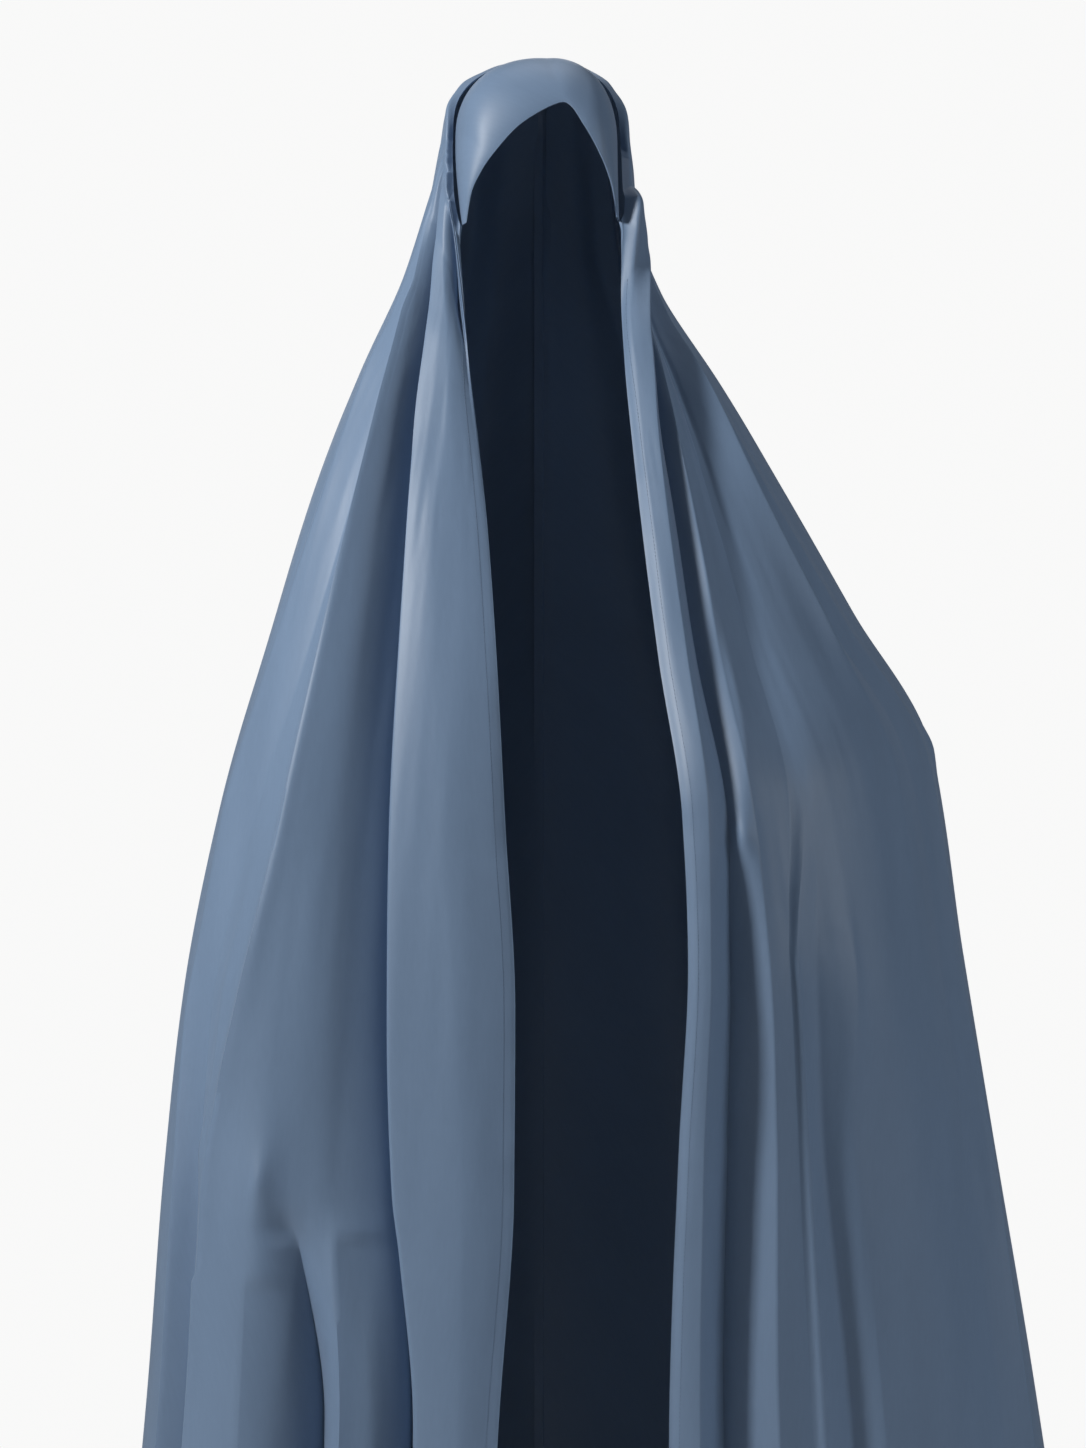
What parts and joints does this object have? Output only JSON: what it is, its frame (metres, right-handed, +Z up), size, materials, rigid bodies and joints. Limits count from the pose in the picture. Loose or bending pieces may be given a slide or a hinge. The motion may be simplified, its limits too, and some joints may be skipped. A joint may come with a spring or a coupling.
{
  "type": "chador",
  "caption": "Full-length open-front cloak of plain cloth, worn over the head, with a smooth head panel round the face and long draped side panels.",
  "frame": {"origin": "inside of the crown, where the cloth rests on top of the head", "axes": "+Z up, the face opening towards -Y, +X towards the side seen at the right from the front"},
  "size_m": [0.9326, 0.6372, 1.7084],
  "materials": {
    "head_panel": "smooth satin-faced crepe",
    "left_panel": "smooth satin-faced crepe",
    "right_panel": "smooth satin-faced crepe"
  },
  "bodies": {
    "root": {"head_panel": "head_panel", "left_panel": "left_panel", "right_panel": "right_panel"}
  },
  "joints": []
}
